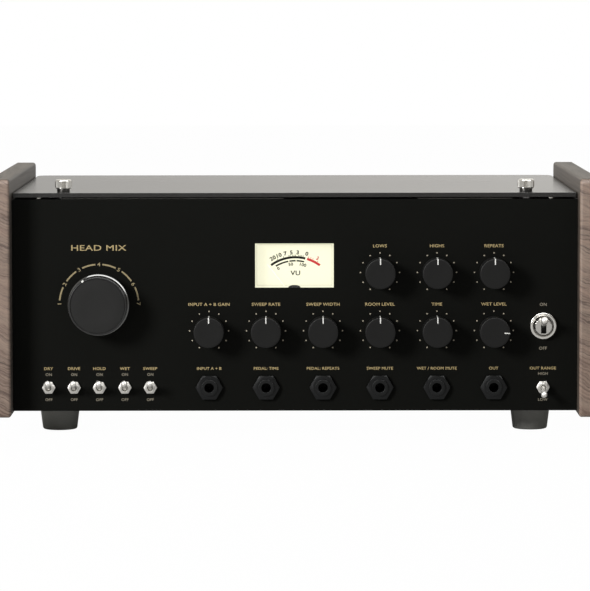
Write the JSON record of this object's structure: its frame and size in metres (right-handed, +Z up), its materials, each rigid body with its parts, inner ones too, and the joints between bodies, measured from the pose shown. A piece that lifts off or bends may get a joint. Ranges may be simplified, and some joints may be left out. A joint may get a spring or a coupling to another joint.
{
  "type": "tape echo unit",
  "caption": "Tape echo unit with wooden side cheeks, black control panel, lit meter, large mode dial, jacks and toggles, and a tape loop deck under a hinged lid.",
  "frame": {"origin": "on the ground under the middle of the unit's overall box", "axes": "+X to the right along the front panel, +Y to the back, +Z up; the controls face -Y"},
  "size_m": [0.4166, 0.269, 0.1773],
  "materials": {
    "walnut": "satin oil",
    "steel_sheet": "fine black powder coat",
    "panel_black": "satin black anodised look",
    "foot_rubber": "matt",
    "screw_steel": "bright",
    "nickel": "polished nickel",
    "smoked_acrylic": "gloss, smoked",
    "foam": "soft foam",
    "black_plastic": "satin",
    "knob_plastic": "satin",
    "meter_card": "matt, lit",
    "clear_window": "clear",
    "needle_metal": "matt black",
    "zinc": "plated",
    "aluminium": "machined",
    "brass": "machined",
    "tape": "smooth brown oxide",
    "head_metal": "polished",
    "roller_rubber": "ground",
    "board": "lacquered",
    "core_iron": "varnished laminations"
  },
  "bodies": {
    "chassis": {"capstan_bearing": "brass", "capstan_motor": "zinc", "case_screws": "screw_steel", "chassis_tray": "steel_sheet", "circuit_board": "board", "deck_plate": "aluminium", "drive_belt": "roller_rubber", "front_panel": "panel_black", "head_block": "aluminium", "hinge_fixed_leaves": "zinc", "iec_inlet": "black_plastic", "jack_nuts": "black_plastic", "jack_sockets": "black_plastic", "left_cheek": "walnut", "lid_pillars": "aluminium", "lid_seals": "foam", "mains_transformer": "core_iron", "meter_case": "black_plastic", "meter_scale_plate": "meter_card", "meter_window": "clear_window", "panel_nuts": "nickel", "pinch_spring": "zinc", "potentiometers": "zinc", "power_switch_body": "black_plastic", "power_switch_ring": "nickel", "rear_panel": "steel_sheet", "right_cheek": "walnut", "rotary_switch": "zinc", "rubber_feet": "foot_rubber", "tape_bin": "black_plastic", "tape_guides": "aluminium", "tape_heads": "head_metal", "tape_loop": "tape", "toggle_switches": "nickel"},
    "lid": {"lid_panel": "smoked_acrylic", "hinge_lid_leaves": "zinc"},
    "left_thumbscrew_body": {"left_thumbscrew": "nickel"},
    "right_thumbscrew_body": {"right_thumbscrew": "nickel"},
    "needle": {"meter_needle": "needle_metal"},
    "mode_knob_body": {"mode_knob": "knob_plastic"},
    "power_lever_body": {"power_lever": "nickel"},
    "flywheel": {"capstan_flywheel": "head_metal"},
    "pulley": {"motor_pulley": "brass"},
    "arm": {"pinch_arm": "zinc"},
    "roller": {"pinch_roller": "roller_rubber"},
    "input_gain_knob_body": {"input_gain_knob": "knob_plastic"},
    "sweep_rate_knob_body": {"sweep_rate_knob": "knob_plastic"},
    "sweep_width_knob_body": {"sweep_width_knob": "knob_plastic"},
    "room_level_knob_body": {"room_level_knob": "knob_plastic"},
    "tape_time_knob_body": {"tape_time_knob": "knob_plastic"},
    "wet_level_knob_body": {"wet_level_knob": "knob_plastic"},
    "lows_knob_body": {"lows_knob": "knob_plastic"},
    "highs_knob_body": {"highs_knob": "knob_plastic"},
    "repeats_knob_body": {"repeats_knob": "knob_plastic"},
    "dry_lever_body": {"dry_lever": "nickel"},
    "motor_lever_body": {"motor_lever": "nickel"},
    "hold_lever_body": {"hold_lever": "nickel"},
    "wet_lever_body": {"wet_lever": "nickel"},
    "sweep_lever_body": {"sweep_lever": "nickel"},
    "output_range_lever_body": {"output_range_lever": "nickel"}
  },
  "joints": [
    {"name": "lid_hinge", "type": "hinge", "parent": "chassis", "child": "lid", "pos_m": [0, 0.126, 0.1609], "axis": [-1, 0, 0], "range_deg": [0, 95]},
    {"name": "needle_swing", "type": "hinge", "parent": "chassis", "child": "needle", "pos_m": [-0.00025, -0.1089, 0.09385], "axis": [0, 1, 0], "range_deg": [0, 76], "stiffness_Nm_per_rad": 0.0001, "springref_deg": -17.19},
    {"name": "mode_turn", "type": "hinge", "parent": "chassis", "child": "mode_knob_body", "pos_m": [-0.134, -0.1145, 0.091], "axis": [0, 1, 0], "range_deg": [-60, 120]},
    {"name": "power_flip", "type": "hinge", "parent": "chassis", "child": "power_lever_body", "pos_m": [0.17, -0.1161, 0.0757], "axis": [1, 0, 0], "range_deg": [0, 40]},
    {"name": "flywheel_turn", "type": "hinge", "parent": "chassis", "child": "flywheel", "pos_m": [0.075, -0.05105, 0.08845], "axis": [0, 0, 1], "continuous": true},
    {"name": "pulley_turn", "type": "hinge", "parent": "chassis", "child": "pulley", "pos_m": [0.14, -0.0045, 0.08845], "axis": [0, 0, 1], "continuous": true},
    {"name": "arm_swing", "type": "hinge", "parent": "chassis", "child": "arm", "pos_m": [0.108, -0.0785, 0.14178], "axis": [0, 0, 1], "range_deg": [0, 15], "stiffness_Nm_per_rad": 0.02, "springref_deg": -20.05},
    {"name": "roller_turn", "type": "hinge", "parent": "arm", "child": "roller", "pos_m": [0.075, -0.06395, 0.14178], "axis": [0, 0, 1], "continuous": true},
    {"name": "left_thumbscrew_turn", "type": "hinge", "parent": "lid", "child": "left_thumbscrew_body", "pos_m": [-0.159, -0.0965, 0.1669], "axis": [0, 0, 1], "continuous": true},
    {"name": "right_thumbscrew_turn", "type": "hinge", "parent": "lid", "child": "right_thumbscrew_body", "pos_m": [0.159, -0.0965, 0.1669], "axis": [0, 0, 1], "continuous": true},
    {"name": "input_gain_turn", "type": "hinge", "parent": "chassis", "child": "input_gain_knob_body", "pos_m": [-0.05875, -0.1145, 0.07235], "axis": [0, 1, 0], "range_deg": [-150, 150]},
    {"name": "sweep_rate_turn", "type": "hinge", "parent": "chassis", "child": "sweep_rate_knob_body", "pos_m": [-0.01975, -0.1145, 0.07235], "axis": [0, 1, 0], "range_deg": [-150, 150]},
    {"name": "sweep_width_turn", "type": "hinge", "parent": "chassis", "child": "sweep_width_knob_body", "pos_m": [0.01925, -0.1145, 0.07235], "axis": [0, 1, 0], "range_deg": [-150, 150]},
    {"name": "room_level_turn", "type": "hinge", "parent": "chassis", "child": "room_level_knob_body", "pos_m": [0.05825, -0.1145, 0.07235], "axis": [0, 1, 0], "range_deg": [-150, 150]},
    {"name": "tape_time_turn", "type": "hinge", "parent": "chassis", "child": "tape_time_knob_body", "pos_m": [0.09725, -0.1145, 0.07235], "axis": [0, 1, 0], "range_deg": [-150, 150]},
    {"name": "wet_level_turn", "type": "hinge", "parent": "chassis", "child": "wet_level_knob_body", "pos_m": [0.13625, -0.1145, 0.07235], "axis": [0, 1, 0], "range_deg": [-243, 57]},
    {"name": "lows_turn", "type": "hinge", "parent": "chassis", "child": "lows_knob_body", "pos_m": [0.05825, -0.1145, 0.11235], "axis": [0, 1, 0], "range_deg": [-150, 150]},
    {"name": "highs_turn", "type": "hinge", "parent": "chassis", "child": "highs_knob_body", "pos_m": [0.09725, -0.1145, 0.11235], "axis": [0, 1, 0], "range_deg": [-150, 150]},
    {"name": "repeats_turn", "type": "hinge", "parent": "chassis", "child": "repeats_knob_body", "pos_m": [0.13625, -0.1145, 0.11235], "axis": [0, 1, 0], "range_deg": [-150, 150]},
    {"name": "dry_flip", "type": "hinge", "parent": "chassis", "child": "dry_lever_body", "pos_m": [-0.1688, -0.1191, 0.0334], "axis": [1, 0, 0], "range_deg": [0, 48]},
    {"name": "motor_flip", "type": "hinge", "parent": "chassis", "child": "motor_lever_body", "pos_m": [-0.1514, -0.1191, 0.0334], "axis": [1, 0, 0], "range_deg": [0, 48]},
    {"name": "hold_flip", "type": "hinge", "parent": "chassis", "child": "hold_lever_body", "pos_m": [-0.134, -0.1191, 0.0334], "axis": [1, 0, 0], "range_deg": [0, 48]},
    {"name": "wet_flip", "type": "hinge", "parent": "chassis", "child": "wet_lever_body", "pos_m": [-0.1166, -0.1191, 0.0334], "axis": [1, 0, 0], "range_deg": [0, 48]},
    {"name": "sweep_flip", "type": "hinge", "parent": "chassis", "child": "sweep_lever_body", "pos_m": [-0.0992, -0.1191, 0.0334], "axis": [1, 0, 0], "range_deg": [0, 48]},
    {"name": "output_range_flip", "type": "hinge", "parent": "chassis", "child": "output_range_lever_body", "pos_m": [0.17, -0.1191, 0.0334], "axis": [1, 0, 0], "range_deg": [-48, 0]}
  ],
  "couplings": [
    {"joint": "pulley_turn", "follows": "flywheel_turn", "ratio": 5.1176},
    {"joint": "roller_turn", "follows": "flywheel_turn", "ratio": -0.3333}
  ]
}
